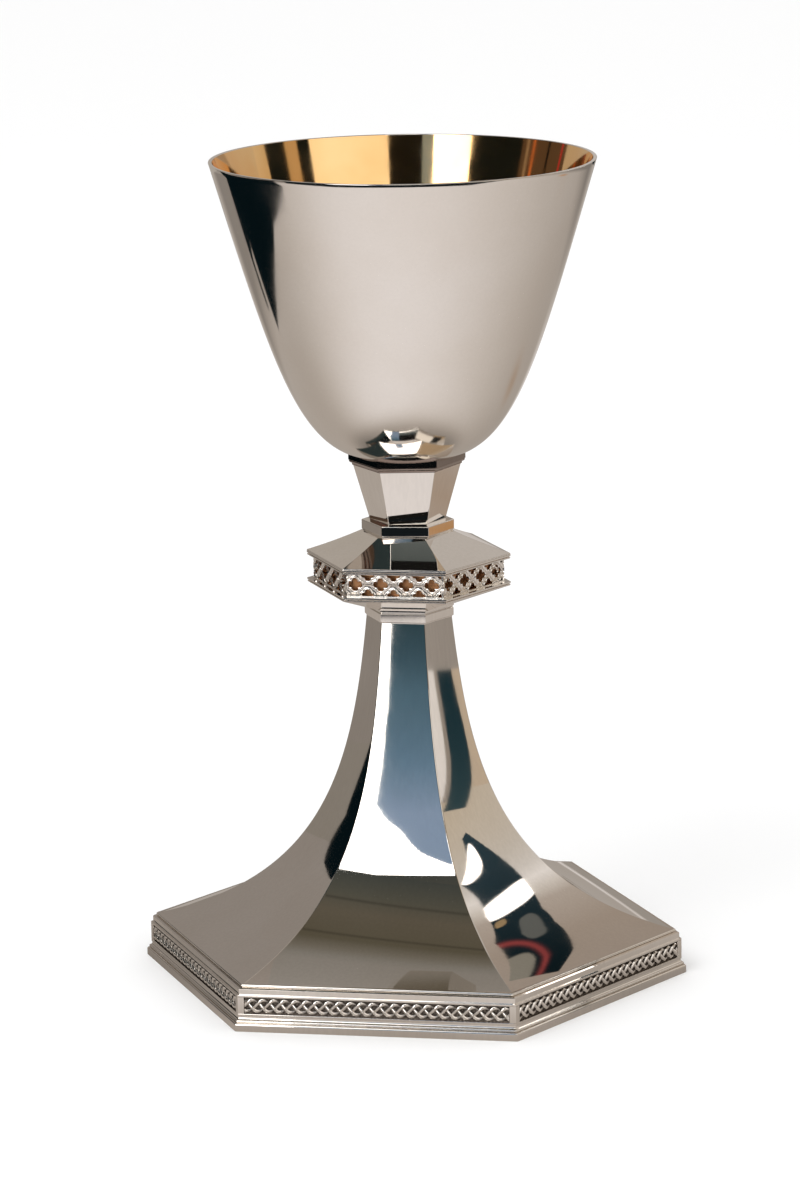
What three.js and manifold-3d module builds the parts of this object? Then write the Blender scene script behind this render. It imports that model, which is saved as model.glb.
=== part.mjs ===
// Hexagonal communion chalice in silver, gilt inside the bowl.
// Millimetres, +Z up. The origin is the middle of the face it stands on; the six
// arrises of the foot stand over +X, +X turned by 60 degrees, and so on.
import * as THREE from "three";
import { mergeVertices } from "three/addons/utils/BufferGeometryUtils.js";
import Module from "manifold-3d";

const wasm = await Module();
wasm.setup();

// ---- the six-sided plan -------------------------------------------------
const SIDES = 6;
const FACE_TURN = (2 * Math.PI) / SIDES;
const HALF_TURN = FACE_TURN / 2;
const COS_HALF = Math.cos(HALF_TURN);
const TAN_HALF = Math.tan(HALF_TURN);

// ---- driving dimensions, heights from the table -------------------------
const RIM_Z = 210;
const RIM_RADIUS = 48.65;
const CUP_WALL = 0.9;
const CUP_FLOOR_Z = 134.37;
const CUP_FLOOR_RADIUS = 8;
const CUP_SEGMENTS = 48;

// The cup and its tapered stem screw down a few degrees past the faces of the foot.
const STEM_TWIST = THREE.MathUtils.degToRad(9.3);
const COLLAR_TWIST = THREE.MathUtils.degToRad(5.2);

const SEAT_FLAT = 12.9; // half the width across flats
const SEAT_BOTTOM_Z = 133.5;
const SEAT_DEPTH = 3.5; // of the blank, before it is hollowed to the bowl
const STEM_TOP_Z = 132.2;
const STEM_TOP_FLAT = 11.85;
const STEM_BOTTOM_Z = 118.25;
const STEM_BOTTOM_FLAT = 8.4;
const STEM_WALL = 0.9;

const COLLAR_FLAT = 10.22;
const COLLAR_BOTTOM_Z = 115;

const KNOP_FLAT = 22.78;
const ROOF_TOP_FLAT = 10.45;
const ROOF_BOTTOM_Z = 109.2;
const ROOF_SAG = 0.22;
const GALLERY_TOP_Z = 108.1;
const GALLERY_BOTTOM_Z = 102.2;
const GALLERY_FLAT = 21.35;
const GALLERY_WALL = 0.9;
const UNDERSIDE_TOP_Z = 101.1;
const NECK_TOP_Z = 96.2;
const NECK_BOTTOM_Z = 95.4;
const NECK_FLAT = 10.05;

const FOOT_TOP_Z = 92.7;
const FOOT_TOP_FLAT = 9.6;
const FOOT_RIM_FLAT = 58;
const FOOT_RIM_Z = 11.6;
const FOOT_WALL = 1.1;

const BASE_FLAT = 61.4;
const FLANGE_TOP_Z = 2.1;
const BEAD_TOP_Z = 2.8;
const FRIEZE_BOTTOM_Z = 4.3;
const FRIEZE_TOP_Z = 8.6;
const FRIEZE_BACK_FLAT = 59.4;
const FRAME_FLAT = 60.35;
const WALL_TOP_Z = 10.8;
const STILE_WIDTH = 1.6;
const CHEVRONS = 24;

const ROD_RADIUS = 2.2;
const TUBE_RADIUS = 3.3;
const BOSS_RADIUS = 4.5;
const CLEARANCE = 0.05;
const FIT_GAP = 0.01; // between a piece and the one it is cut to
const MERGE_DISTANCE = 1e-5;

// ---- shape helpers ------------------------------------------------------

// Points along a cubic curve given by its four control points.
function cubic(p0, p1, p2, p3, steps) {
  const vec = (p) => new THREE.Vector2(p[0], p[1]);
  const curve = new THREE.CubicBezierCurve(vec(p0), vec(p1), vec(p2), vec(p3));
  return curve.getPoints(steps).map((p) => [p.x, p.y]);
}

// A line of points moved sideways by a distance, to the left of its direction.
function offsetLine(points, distance) {
  return points.map((p, i) => {
    const before = points[Math.max(i - 1, 0)];
    const after = points[Math.min(i + 1, points.length - 1)];
    const dx = after[0] - before[0];
    const dz = after[1] - before[1];
    const length = Math.hypot(dx, dz);
    return [p[0] - (dz / length) * distance, p[1] + (dx / length) * distance];
  });
}

// Points of an arc round a centre, angles in degrees.
function arc(centreR, centreZ, radius, fromDeg, toDeg, steps) {
  return Array.from({ length: steps + 1 }, (_, i) => {
    const t = THREE.MathUtils.degToRad(fromDeg + ((toDeg - fromDeg) * i) / steps);
    return [centreR + radius * Math.cos(t), centreZ + radius * Math.sin(t)];
  });
}

// Points of a slope from one corner to another, hollowed by a sag at its middle.
function hollowSlope([flatA, zA], [flatB, zB], sag, steps) {
  return Array.from({ length: steps + 1 }, (_, i) => {
    const t = i / steps;
    return [flatA + (flatB - flatA) * t, zA + (zB - zA) * t - 4 * sag * t * (1 - t)];
  });
}

// A closed section, [distance from the axis to a flat, z], carried round the hexagon.
function hexRing(section, twist = 0) {
  const points = section.map(([flat, z]) => new THREE.Vector2(flat / COS_HALF, z));
  points.push(points[0].clone());
  const geometry = new THREE.LatheGeometry(points, SIDES, HALF_TURN);
  geometry.rotateX(Math.PI / 2);
  geometry.rotateZ(twist);
  return geometry;
}

// A closed section, [radius, z], turned round the axis.
function turned(section, segments) {
  const points = section.map(([r, z]) => new THREE.Vector2(r, z));
  points.push(points[0].clone());
  const geometry = new THREE.LatheGeometry(points, segments);
  geometry.rotateX(Math.PI / 2);
  return geometry;
}

// One side of a hexagonal shell: the section runs straight across the face at -Y
// and both ends are mitred on the planes through the axis and the arrises.
function mitredFace(section) {
  const shape = new THREE.Shape(section.map(([flat, z]) => new THREE.Vector2(flat, z)));
  const geometry = new THREE.ExtrudeGeometry(shape, { depth: 1, bevelEnabled: false });
  const position = geometry.getAttribute("position");
  for (let i = 0; i < position.count; i++) {
    const flat = position.getX(i);
    const across = (1 - 2 * position.getZ(i)) * flat * TAN_HALF;
    position.setXYZ(i, across, -flat, position.getY(i));
  }
  geometry.computeVertexNormals();
  return geometry;
}

// A flat shape thickened and stood up against the face at -Y.
function onFrontFace(shape, thickness, backFlat, bottomZ, curveSegments = 3) {
  const options = { depth: thickness, bevelEnabled: false, curveSegments };
  const geometry = new THREE.ExtrudeGeometry(shape, options);
  geometry.rotateX(Math.PI / 2);
  geometry.translate(0, -backFlat, bottomZ);
  return geometry;
}

// A closed three.js geometry as a solid that can be cut and joined: its shared
// vertices are merged and the triangles that this empties are left out.
function solidOf(geometry) {
  const bare = geometry.clone();
  bare.deleteAttribute("normal");
  bare.deleteAttribute("uv");
  const merged = mergeVertices(bare, MERGE_DISTANCE);
  const corners = merged.getIndex().array;
  const kept = [];
  for (let i = 0; i < corners.length; i += 3) {
    const [a, b, c] = corners.slice(i, i + 3);
    if (a !== b && b !== c && c !== a) kept.push(a, b, c);
  }
  const mesh = new wasm.Mesh({
    numProp: 3,
    vertProperties: Float32Array.from(merged.getAttribute("position").array),
    triVerts: Uint32Array.from(kept),
  });
  return new wasm.Manifold(mesh);
}

// The solid back as a three.js geometry.
function geometryOf(solid) {
  const mesh = solid.getMesh();
  const geometry = new THREE.BufferGeometry();
  geometry.setAttribute("position", new THREE.BufferAttribute(mesh.vertProperties, 3));
  geometry.setIndex(new THREE.BufferAttribute(mesh.triVerts, 1));
  return geometry;
}

// ---- materials ----------------------------------------------------------
function metal(color, roughness) {
  return new THREE.MeshStandardMaterial({
    color,
    roughness,
    metalness: 1,
    flatShading: true,
  });
}

const silver = () => metal(0xcfcac2, 0.12);
const darkenedSilver = () => metal(0x6b6660, 0.4);
const gilt = () => metal(0xc98f4a, 0.25);
const brass = () => metal(0xb89a55, 0.3);
const steel = () => metal(0x8d8f92, 0.35);

const chalice = new THREE.Group();
chalice.name = "communion_chalice";

function add(name, geometry, material) {
  const mesh = new THREE.Mesh(geometry, material);
  mesh.name = name;
  chalice.add(mesh);
  return mesh;
}

// The same piece on each of the six faces, numbered from the front one.
function addOnEachFace(name, makeGeometry, makeMaterial) {
  for (let face = 0; face < SIDES; face++) {
    const geometry = makeGeometry();
    geometry.rotateZ(face * FACE_TURN);
    add(name + "_" + (face + 1), geometry, makeMaterial());
  }
}

// ---- cup ----------------------------------------------------------------

// Outside of the bowl from the edge of its flat floor up to the rim.
function cupOutside() {
  return cubic(
    [CUP_FLOOR_RADIUS, CUP_FLOOR_Z],
    [27.25, CUP_FLOOR_Z],
    [33.11, 157.4],
    [RIM_RADIUS, RIM_Z],
    14,
  );
}

function cupGeometry() {
  const outside = cupOutside();
  const inside = offsetLine(outside, CUP_WALL).reverse();
  inside[0] = [RIM_RADIUS - CUP_WALL, RIM_Z];
  inside[inside.length - 1] = [CUP_FLOOR_RADIUS, CUP_FLOOR_Z + CUP_WALL];
  const section = [[0, CUP_FLOOR_Z], ...outside, ...inside, [0, CUP_FLOOR_Z + CUP_WALL]];
  const points = section.map(([r, z]) => new THREE.Vector2(r, z));
  const geometry = new THREE.LatheGeometry(points, CUP_SEGMENTS);
  geometry.rotateX(Math.PI / 2);
  return geometry;
}

// Six-sided plate hollowed on top to the bowl, with a hole for the boss.
function cupSeatGeometry() {
  const outline = Array.from({ length: SIDES }, (_, i) => {
    const t = STEM_TWIST + i * FACE_TURN;
    const corner = SEAT_FLAT / COS_HALF;
    return new THREE.Vector2(corner * Math.cos(t), corner * Math.sin(t));
  });
  const shape = new THREE.Shape(outline);
  shape.holes.push(new THREE.Path().absarc(0, 0, BOSS_RADIUS + CLEARANCE, 0, 2 * Math.PI));
  const options = { depth: SEAT_DEPTH, bevelEnabled: false, curveSegments: 12 };
  const plate = new THREE.ExtrudeGeometry(shape, options);
  plate.translate(0, 0, SEAT_BOTTOM_Z);
  const bowl = new THREE.LatheGeometry(
    [[0, CUP_FLOOR_Z], ...cupOutside(), [0, RIM_Z]].map(([r, z]) => new THREE.Vector2(r, z)),
    CUP_SEGMENTS,
  );
  bowl.rotateX(Math.PI / 2);
  bowl.translate(0, 0, -FIT_GAP);
  return geometryOf(solidOf(plate).subtract(solidOf(bowl)));
}

// Turned boss under the bowl with a blind hole for the rod.
function cupBossGeometry() {
  const hole = ROD_RADIUS + CLEARANCE;
  return turned(
    [
      [0, 133.2],
      [hole, 133.2],
      [hole, 127],
      [BOSS_RADIUS - 0.4, 127],
      [BOSS_RADIUS, 127.4],
      [BOSS_RADIUS, CUP_FLOOR_Z - FIT_GAP],
      [0, CUP_FLOOR_Z - FIT_GAP],
    ],
    24,
  );
}

// ---- stem ---------------------------------------------------------------

// Ovolo and fillet between the seat and the tapered stem.
function seatMouldingGeometry() {
  return hexRing(
    [
      [10.9, SEAT_BOTTOM_Z],
      [10.9, STEM_TOP_Z],
      [12.15, STEM_TOP_Z],
      [12.15, 132.75],
      ...arc(12.15, 133.35, 0.6, -90, 0, 5),
      [12.75, SEAT_BOTTOM_Z],
    ],
    STEM_TWIST,
  );
}

function stemShellGeometry() {
  return hexRing(
    [
      [STEM_BOTTOM_FLAT - STEM_WALL, STEM_BOTTOM_Z],
      [STEM_BOTTOM_FLAT, STEM_BOTTOM_Z],
      [STEM_TOP_FLAT, STEM_TOP_Z],
      [STEM_TOP_FLAT - STEM_WALL, STEM_TOP_Z],
    ],
    STEM_TWIST,
  );
}

// ---- knop ---------------------------------------------------------------

// Collar with a weathered top, a bore for the rod and softened lower edge.
function knopCollarGeometry() {
  const bore = ROD_RADIUS + CLEARANCE;
  return hexRing(
    [
      [bore, COLLAR_BOTTOM_Z],
      [9.95, COLLAR_BOTTOM_Z],
      [9.95, 115.25],
      [COLLAR_FLAT, 115.5],
      [COLLAR_FLAT, 117.8],
      [10.1, 117.95],
      [8.75, STEM_BOTTOM_Z],
      [bore, STEM_BOTTOM_Z],
    ],
    COLLAR_TWIST,
  );
}

// Hollow six-sided roof, very slightly hollowed on its slopes.
function knopRoofGeometry() {
  const bore = TUBE_RADIUS + CLEARANCE;
  const eaveFlat = KNOP_FLAT - 0.05;
  return hexRing([
    [20.6, ROOF_BOTTOM_Z],
    [eaveFlat, ROOF_BOTTOM_Z],
    ...hollowSlope(
      [eaveFlat, ROOF_BOTTOM_Z + 0.35],
      [ROOF_TOP_FLAT, COLLAR_BOTTOM_Z],
      ROOF_SAG,
      4,
    ),
    [bore, COLLAR_BOTTOM_Z],
    [bore, COLLAR_BOTTOM_Z - 1],
    [ROOF_TOP_FLAT - 0.6, COLLAR_BOTTOM_Z - 1],
  ]);
}

// Eave with two fillets and a groove between them.
function eaveSection(bottomZ, topZ) {
  const middle = (bottomZ + topZ) / 2;
  return [
    [GALLERY_FLAT - GALLERY_WALL, bottomZ],
    [KNOP_FLAT - 0.25, bottomZ],
    [KNOP_FLAT - 0.08, bottomZ + 0.12],
    [KNOP_FLAT - 0.08, middle - 0.12],
    [KNOP_FLAT - 0.28, middle],
    [KNOP_FLAT, middle + 0.12],
    [KNOP_FLAT, topZ],
    [GALLERY_FLAT - GALLERY_WALL, topZ],
  ];
}

const GALLERY_PITCH = 6.5;
const GALLERY_FIRST = 2.05; // from the left arris to the first full quatrefoil
const GALLERY_ROW_Z = 3.15;
const GALLERY_RAIL = 0.25;
const GALLERY_END = 0.55; // solid metal left beside each arris

// Outline of four overlapping round lobes about one centre. Neighbouring lobes
// meet on the line square to the one that joins their centres.
function quatrefoil(x, y, width, height) {
  const lobe = height * 0.27;
  const side = width / 2 - lobe;
  const up = height / 2 - lobe;
  const apart = Math.hypot(side, up);
  const reach = Math.sqrt(lobe * lobe - (apart * apart) / 4);
  const meetX = side / 2 + (reach * up) / apart;
  const meetY = up / 2 + (reach * side) / apart;
  const sideTurn = Math.atan2(meetY, meetX - side);
  const topTurn = Math.atan2(meetY - up, meetX);
  return new THREE.Shape()
    .absarc(x + side, y, lobe, -sideTurn, sideTurn)
    .absarc(x, y + up, lobe, topTurn, Math.PI - topTurn)
    .absarc(x - side, y, lobe, Math.PI - sideTurn, Math.PI + sideTurn)
    .absarc(x, y - up, lobe, Math.PI + topTurn, 2 * Math.PI - topTurn);
}

// Upright rectangle of a face, as a shape.
function rectangle(left, right, bottom, top) {
  return new THREE.Shape([
    new THREE.Vector2(left, bottom),
    new THREE.Vector2(right, bottom),
    new THREE.Vector2(right, top),
    new THREE.Vector2(left, top),
  ]);
}

// Pierced panel: a row of whole quatrefoils between two rows of halves. The
// punches reach past both faces of the plate and stop at the rails and ends.
function galleryPanelGeometry() {
  const height = GALLERY_TOP_Z - GALLERY_BOTTOM_Z;
  const width = 2 * GALLERY_FLAT * TAN_HALF;
  const left = -width / 2;
  const back = GALLERY_FLAT - GALLERY_WALL;
  const punched = (shape) =>
    solidOf(onFrontFace(shape, GALLERY_WALL + 2, back - 1, GALLERY_BOTTOM_Z));
  const field = punched(
    rectangle(left + GALLERY_END, -left - GALLERY_END, GALLERY_RAIL, height - GALLERY_RAIL),
  );
  let panel = solidOf(
    mitredFace([
      [back, GALLERY_BOTTOM_Z],
      [GALLERY_FLAT, GALLERY_BOTTOM_Z],
      [GALLERY_FLAT, GALLERY_TOP_Z],
      [back, GALLERY_TOP_Z],
    ]),
  );
  for (let i = 0; i < 4; i++) {
    const whole = left + GALLERY_FIRST + i * GALLERY_PITCH;
    const half = whole + GALLERY_PITCH / 2;
    for (const shape of [
      quatrefoil(whole, GALLERY_ROW_Z, 3.15, 2.85),
      quatrefoil(half, height - GALLERY_RAIL, 3.5, 3.3),
      quatrefoil(half, GALLERY_RAIL, 3.2, 3.6),
    ]) {
      panel = panel.subtract(punched(shape).intersect(field));
    }
  }
  return geometryOf(panel);
}

// Plain band seen through the piercings.
function galleryLiningGeometry() {
  return hexRing([
    [18.6, GALLERY_BOTTOM_Z],
    [19.2, GALLERY_BOTTOM_Z],
    [19.2, GALLERY_TOP_Z],
    [18.6, GALLERY_TOP_Z],
  ]);
}

// A flat hexagonal plate that carries one end of the lining and the gallery.
function galleryPlateSection(bottomZ, topZ) {
  const bore = TUBE_RADIUS + CLEARANCE;
  const edge = GALLERY_FLAT - GALLERY_WALL;
  return [
    [bore, bottomZ],
    [edge, bottomZ],
    [edge, topZ],
    [bore, topZ],
  ];
}

// Shallow inverted hexagonal pan below the gallery.
function knopUndersideGeometry() {
  const bore = TUBE_RADIUS + CLEARANCE;
  return hexRing([
    [bore, NECK_TOP_Z],
    [NECK_FLAT + 0.15, NECK_TOP_Z],
    [KNOP_FLAT - 0.3, UNDERSIDE_TOP_Z],
    [KNOP_FLAT - 2.6, UNDERSIDE_TOP_Z],
    [NECK_FLAT - 0.2, NECK_TOP_Z + 1],
    [bore, NECK_TOP_Z + 1],
  ]);
}

function knopNeckGeometry() {
  const bore = TUBE_RADIUS + CLEARANCE;
  return hexRing([
    [bore, NECK_BOTTOM_Z],
    [NECK_FLAT - 0.25, NECK_BOTTOM_Z],
    [NECK_FLAT - 0.25, NECK_BOTTOM_Z + 0.15],
    [NECK_FLAT, NECK_BOTTOM_Z + 0.3],
    [NECK_FLAT, NECK_TOP_Z],
    [bore, NECK_TOP_Z],
  ]);
}

// Tube through the knop that keeps its plates in line on the rod.
function coreTubeGeometry() {
  return turned(
    [
      [ROD_RADIUS + CLEARANCE, FOOT_TOP_Z],
      [TUBE_RADIUS, FOOT_TOP_Z],
      [TUBE_RADIUS, COLLAR_BOTTOM_Z],
      [ROD_RADIUS + CLEARANCE, COLLAR_BOTTOM_Z],
    ],
    24,
  );
}

// Threaded rod that draws cup, stem, knop and foot together.
function tieRodGeometry() {
  return turned(
    [
      [0, 83.2],
      [1.8, 83.2],
      [ROD_RADIUS, 83.6],
      [ROD_RADIUS, 132.9],
      [0, 132.9],
    ],
    20,
  );
}

// ---- foot ---------------------------------------------------------------
function footCollarGeometry() {
  const bore = TUBE_RADIUS + CLEARANCE;
  const flat = 9.98;
  return hexRing([
    [bore, FOOT_TOP_Z],
    [flat - 0.35, FOOT_TOP_Z],
    [flat - 0.35, FOOT_TOP_Z + 0.2],
    [flat, FOOT_TOP_Z + 0.45],
    [flat, NECK_BOTTOM_Z - 0.3],
    [flat - 0.25, NECK_BOTTOM_Z],
    [bore, NECK_BOTTOM_Z],
  ]);
}

// Plate let into the top of the foot.
function footCapGeometry() {
  const bore = ROD_RADIUS + CLEARANCE;
  const edge = FOOT_TOP_FLAT - FOOT_WALL - 0.06;
  return hexRing([
    [bore, FOOT_TOP_Z - 1.2],
    [edge, FOOT_TOP_Z - 1.2],
    [edge, FOOT_TOP_Z],
    [bore, FOOT_TOP_Z],
  ]);
}

// Round nut under the cap; the rod ends just below it.
function threadedBushGeometry() {
  const top = FOOT_TOP_Z - 1.2;
  return turned(
    [
      [ROD_RADIUS + CLEARANCE, 84.6],
      [4.6, 84.6],
      [5, 85],
      [5, top],
      [ROD_RADIUS + CLEARANCE, top],
    ],
    24,
  );
}

// One concave side of the foot, swept from the neck down to the wide rim.
function footFaceGeometry() {
  const outside = cubic(
    [FOOT_RIM_FLAT, FOOT_RIM_Z],
    [20.1, 22.7],
    [13.35, 52],
    [FOOT_TOP_FLAT, FOOT_TOP_Z],
    20,
  );
  const inside = offsetLine(outside, FOOT_WALL)
    .filter(([flat, z]) => z > WALL_TOP_Z + 0.1 && flat < FOOT_RIM_FLAT - 1)
    .reverse();
  inside[0] = [FOOT_TOP_FLAT - FOOT_WALL, FOOT_TOP_Z];
  const section = [
    [FOOT_RIM_FLAT, WALL_TOP_Z],
    ...outside,
    ...inside,
    [FOOT_RIM_FLAT - 1.2, WALL_TOP_Z],
  ];
  return mitredFace(section);
}

// Half-round bead outside the joint of foot and band.
function baseCorniceGeometry() {
  const middle = (WALL_TOP_Z + FOOT_RIM_Z) / 2;
  return hexRing([
    [FOOT_RIM_FLAT, WALL_TOP_Z],
    ...arc(FOOT_RIM_FLAT + 0.65, middle, 0.4, -90, 90, 8),
    [FOOT_RIM_FLAT, FOOT_RIM_Z],
  ]);
}

// Upright band with a cavetto, a sunk field for the frieze and a fascia.
function baseWallGeometry() {
  return hexRing([
    [57, BEAD_TOP_Z],
    [60.6, BEAD_TOP_Z],
    ...arc(60.75, 3.35, 0.55, 255, 180, 4).slice(1),
    [60.2, 3.7],
    [FRAME_FLAT, 3.7],
    [FRAME_FLAT, FRIEZE_BOTTOM_Z],
    [FRIEZE_BACK_FLAT, FRIEZE_BOTTOM_Z],
    [FRIEZE_BACK_FLAT, FRIEZE_TOP_Z],
    [FRAME_FLAT, FRIEZE_TOP_Z],
    [FRAME_FLAT, 9.1],
    [60, 9.1],
    [59.7, WALL_TOP_Z],
    [57, WALL_TOP_Z],
  ]);
}

function baseLowerBeadGeometry() {
  const middle = (FLANGE_TOP_Z + BEAD_TOP_Z) / 2;
  return hexRing([
    [58, FLANGE_TOP_Z],
    ...arc(60.55, middle, 0.35, -90, 90, 8),
    [58, BEAD_TOP_Z],
  ]);
}

function baseFlangeGeometry() {
  return hexRing([
    [56.5, 0],
    [BASE_FLAT, 0],
    ...arc(BASE_FLAT - 0.5, FLANGE_TOP_Z - 0.5, 0.5, 0, 90, 4),
    [56.5, FLANGE_TOP_Z],
  ]);
}

// Plaited strip: a backing plate with two rows of slanting strokes that meet
// along the middle, so the strokes read as chevrons pointing left.
function friezePanelGeometry() {
  const height = FRIEZE_TOP_Z - FRIEZE_BOTTOM_Z;
  const width = 2 * (FRAME_FLAT * TAN_HALF - STILE_WIDTH);
  const pitch = width / (CHEVRONS + 0.6);
  const reach = height / 2 - 0.15;
  const upper = [];
  for (let i = 0; i < CHEVRONS; i++) {
    const x = -width / 2 + 0.15 + i * pitch;
    upper.push([x, 0.28], [x + 1.5, reach], [x + 2.9, reach]);
  }
  const lower = upper.map(([x, y]) => [x, -y]).reverse();
  const outline = [...lower, ...upper].reverse();
  const strokes = new THREE.Shape(
    outline.map(([x, y]) => new THREE.Vector2(x, y + height / 2)),
  );
  const plate = rectangle(-width / 2, width / 2, 0, height);
  const back = onFrontFace(plate, 0.3, FRIEZE_BACK_FLAT, FRIEZE_BOTTOM_Z);
  const front = onFrontFace(strokes, 0.7, FRIEZE_BACK_FLAT, FRIEZE_BOTTOM_Z);
  return geometryOf(solidOf(back).add(solidOf(front)));
}

// Plain upright over one arris between two frieze panels.
function cornerStileGeometry() {
  const depth = FRAME_FLAT - FRIEZE_BACK_FLAT;
  const corner = FRAME_FLAT / COS_HALF;
  const outer = (side) =>
    new THREE.Vector2(corner - STILE_WIDTH * 0.5, side * STILE_WIDTH * COS_HALF);
  const inner = (side) =>
    new THREE.Vector2(
      corner - STILE_WIDTH * 0.5 - depth * COS_HALF,
      side * (STILE_WIDTH * COS_HALF - depth * 0.5),
    );
  const shape = new THREE.Shape([
    outer(-1),
    new THREE.Vector2(corner, 0),
    outer(1),
    inner(1),
    new THREE.Vector2(corner - depth / COS_HALF, 0),
    inner(-1),
  ]);
  const height = FRIEZE_TOP_Z - FRIEZE_BOTTOM_Z;
  const geometry = new THREE.ExtrudeGeometry(shape, { depth: height, bevelEnabled: false });
  geometry.translate(0, 0, FRIEZE_BOTTOM_Z);
  geometry.rotateZ(-FACE_TURN);
  return geometry;
}

// ---- assembly, from the rim down ----------------------------------------
add("cup", cupGeometry(), silver());
add("cup_seat", cupSeatGeometry(), silver());
add("cup_boss", cupBossGeometry(), brass());
add("seat_moulding", seatMouldingGeometry(), silver());
add("stem_shell", stemShellGeometry(), silver());
add("tie_rod", tieRodGeometry(), steel());

add("knop_collar", knopCollarGeometry(), silver());
add("knop_roof", knopRoofGeometry(), silver());
add("knop_cornice", hexRing(eaveSection(GALLERY_TOP_Z, ROOF_BOTTOM_Z)), silver());
addOnEachFace("gallery_panel", galleryPanelGeometry, silver);
add("gallery_lining", galleryLiningGeometry(), gilt());
add(
  "gallery_top_plate",
  hexRing(galleryPlateSection(GALLERY_TOP_Z, ROOF_BOTTOM_Z)),
  gilt(),
);
add(
  "gallery_bottom_plate",
  hexRing(galleryPlateSection(UNDERSIDE_TOP_Z, GALLERY_BOTTOM_Z)),
  gilt(),
);
add(
  "knop_base_moulding",
  hexRing(eaveSection(UNDERSIDE_TOP_Z, GALLERY_BOTTOM_Z)),
  silver(),
);
add("knop_underside", knopUndersideGeometry(), silver());
add("knop_neck", knopNeckGeometry(), silver());
add("core_tube", coreTubeGeometry(), brass());

add("foot_collar", footCollarGeometry(), silver());
add("foot_cap", footCapGeometry(), silver());
add("threaded_bush", threadedBushGeometry(), brass());
addOnEachFace("foot_face", footFaceGeometry, silver);
add("base_cornice", baseCorniceGeometry(), silver());
add("base_wall", baseWallGeometry(), silver());
addOnEachFace("frieze_panel", friezePanelGeometry, darkenedSilver);
addOnEachFace("corner_stile", cornerStileGeometry, silver);
add("base_lower_bead", baseLowerBeadGeometry(), silver());
add("base_flange", baseFlangeGeometry(), silver());

export default chalice;
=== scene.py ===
"""A six-sided communion chalice in polished silver, gilt inside the bowl.

Shapes are worked out in millimetres and put into the meshes in metres. Nearly every
piece is one closed section carried round the hexagonal plan; the bowl is turned, the
pierced gallery and the plaited frieze are height fields laid on the flat faces.
"""

import math

import bmesh
import bpy
import numpy as np
from mathutils import Matrix, Vector


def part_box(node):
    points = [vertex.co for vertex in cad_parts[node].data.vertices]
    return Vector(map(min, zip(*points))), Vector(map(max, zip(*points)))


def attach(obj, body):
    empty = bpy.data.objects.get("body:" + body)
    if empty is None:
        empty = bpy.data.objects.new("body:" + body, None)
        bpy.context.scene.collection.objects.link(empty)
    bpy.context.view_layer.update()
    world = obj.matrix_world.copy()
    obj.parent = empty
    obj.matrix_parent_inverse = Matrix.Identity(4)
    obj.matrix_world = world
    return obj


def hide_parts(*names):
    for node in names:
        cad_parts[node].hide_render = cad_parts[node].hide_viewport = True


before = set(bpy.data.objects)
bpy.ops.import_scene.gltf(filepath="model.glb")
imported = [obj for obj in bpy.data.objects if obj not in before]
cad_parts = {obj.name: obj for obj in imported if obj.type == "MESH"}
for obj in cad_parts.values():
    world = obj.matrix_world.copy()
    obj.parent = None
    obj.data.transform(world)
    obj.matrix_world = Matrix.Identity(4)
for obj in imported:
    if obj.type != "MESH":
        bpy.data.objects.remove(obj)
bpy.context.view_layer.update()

MM = 0.001
SIDES = 6
COS30 = math.cos(math.radians(30))
TAN30 = math.tan(math.radians(30))
STEM_TWIST = math.radians(9.3)
COLLAR_TWIST = math.radians(5.2)
SMOOTH_BELOW = math.radians(28)


# ---- measures taken from the frame ----
def bottom(node):
    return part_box(node)[0].z / MM


def top(node):
    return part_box(node)[1].z / MM


def heights(node):
    return bottom(node), top(node)


def flat(node, twist=0.0):
    """Half the width across flats of a six-sided node."""
    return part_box(node)[1].x / MM / math.cos(twist) * COS30


# ---- two small formulas ----
def hump(value, middle, width):
    """A bell curve, 1 at the middle and falling to e to the minus one a width away."""
    return np.exp(-(((value - middle) / width) ** 2))


def ramp(value, start, run):
    """0 up to the start, then in a straight line to 1 over the run, which may be negative."""
    return np.clip((value - start) / run, 0, 1)


# ---- meshes ----
def placed(name, data):
    """A new object at the origin, in the scene."""
    made = bpy.data.objects.new(name, data)
    bpy.context.scene.collection.objects.link(made)
    return made


def piece(name, points, faces, material, slot, *nodes, more_faces=(), poles=False):
    """A mesh object from points in millimetres and rows of vertex numbers.

    The faces are turned round if they enclose a negative volume, so they point out.
    With poles, the rows that shrink to the axis are merged to one point each.
    """
    points = np.asarray(points, float).reshape(-1, 3)
    corners = points[faces]
    spread = np.cross(corners[:, 1] - corners[:, 0], corners[:, 2] - corners[:, 0])
    if faces.shape[1] == 4:
        spread += np.cross(corners[:, 2] - corners[:, 0], corners[:, 3] - corners[:, 0])
    facing = -1 if np.sum(spread * (corners[:, 0] - points.mean(0))) < 0 else 1
    lists = faces[:, ::facing].tolist() + [list(f)[::facing] for f in more_faces]
    mesh = bpy.data.meshes.new(name)
    mesh.from_pydata((points * MM).tolist(), [], lists)
    if poles:
        shell = bmesh.new()
        shell.from_mesh(mesh)
        bmesh.ops.remove_doubles(shell, verts=shell.verts, dist=1e-6)
        shell.to_mesh(mesh)
        shell.free()
    mesh.shade_smooth()
    mesh.set_sharp_from_angle(angle=SMOOTH_BELOW)
    mesh.materials.append(material)
    shown = placed(name, mesh)
    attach(shown, "root")
    if nodes:
        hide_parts(*nodes)
    return shown


def woven(rows, columns, closed_rows=True, closed_columns=True):
    """Four-cornered faces of a grid of points, joined end to end where it closes."""
    number = np.arange(rows * columns).reshape(rows, columns)
    down = np.roll(number, -1, 0)
    faces = np.stack([number, np.roll(number, -1, 1), np.roll(down, -1, 1), down], -1)
    if not closed_rows:
        faces = faces[:-1]
    if not closed_columns:
        faces = faces[:, :-1]
    return faces.reshape(-1, 4)


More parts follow.
